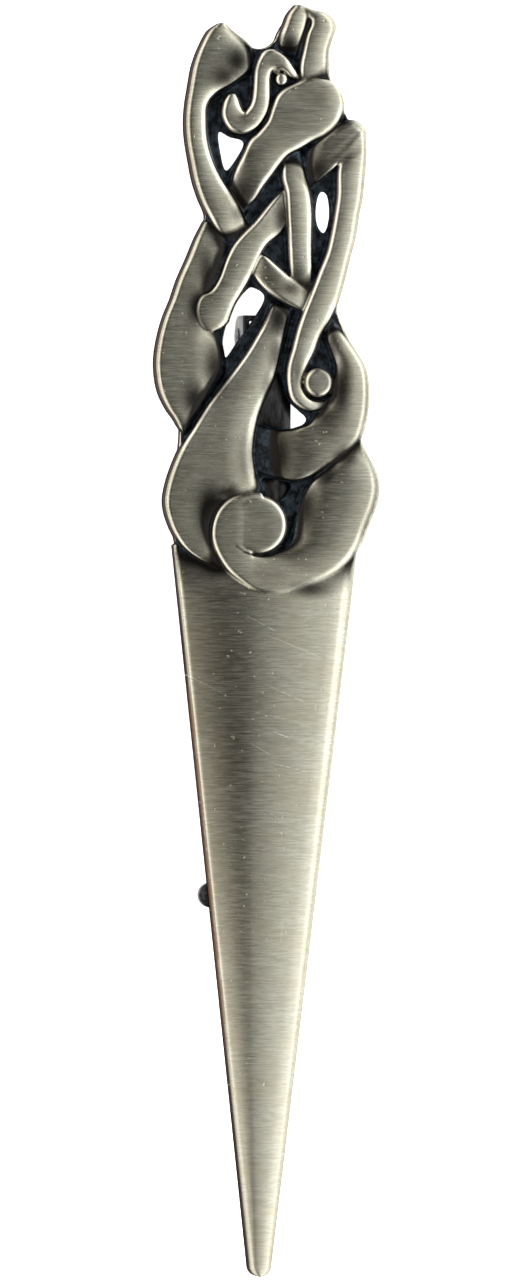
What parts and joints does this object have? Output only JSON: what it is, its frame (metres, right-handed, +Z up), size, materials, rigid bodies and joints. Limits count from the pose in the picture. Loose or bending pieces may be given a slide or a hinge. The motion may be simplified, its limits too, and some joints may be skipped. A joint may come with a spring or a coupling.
{
  "type": "kilt pin",
  "caption": "Cast kilt pin with an openwork knotted beast over a long tapering blade, antiqued pewter finish, hinged pin and turning safety catch on the back",
  "frame": {"origin": "middle of the underside, on the surface it lies on", "axes": "+Z up, out of the carved face; -Y to the tip of the blade; +X to the right seen from the front with the beast at the top"},
  "size_m": [0.018, 0.1, 0.0066],
  "materials": {
    "antiqued_pewter": "zinc casting plated in antique pewter, brushed across, with blue-black patina left in the recesses",
    "dark_steel": "blackened nickel-plated steel strip",
    "rivet_steel": "blackened steel rivet",
    "pin_wire": "drawn hard steel wire, nickel plated",
    "catch_steel": "blackened nickel-plated turned steel"
  },
  "bodies": {
    "brooch": {"casting": "antiqued_pewter", "back_bar": "dark_steel", "hinge_rivet": "rivet_steel"},
    "tongue": {"pin_tongue": "pin_wire"},
    "lock": {"catch_rotor": "catch_steel"}
  },
  "joints": [
    {"name": "tongue_hinge", "type": "hinge", "parent": "brooch", "child": "tongue", "pos_m": [0, 0.0239, 0.0016], "axis": [1, 0, 0], "range_deg": [0, 70]},
    {"name": "lock_turn", "type": "hinge", "parent": "brooch", "child": "lock", "pos_m": [0, -0.0201, 0.002], "axis": [0, -1, 0], "range_deg": [0, 90]}
  ]
}
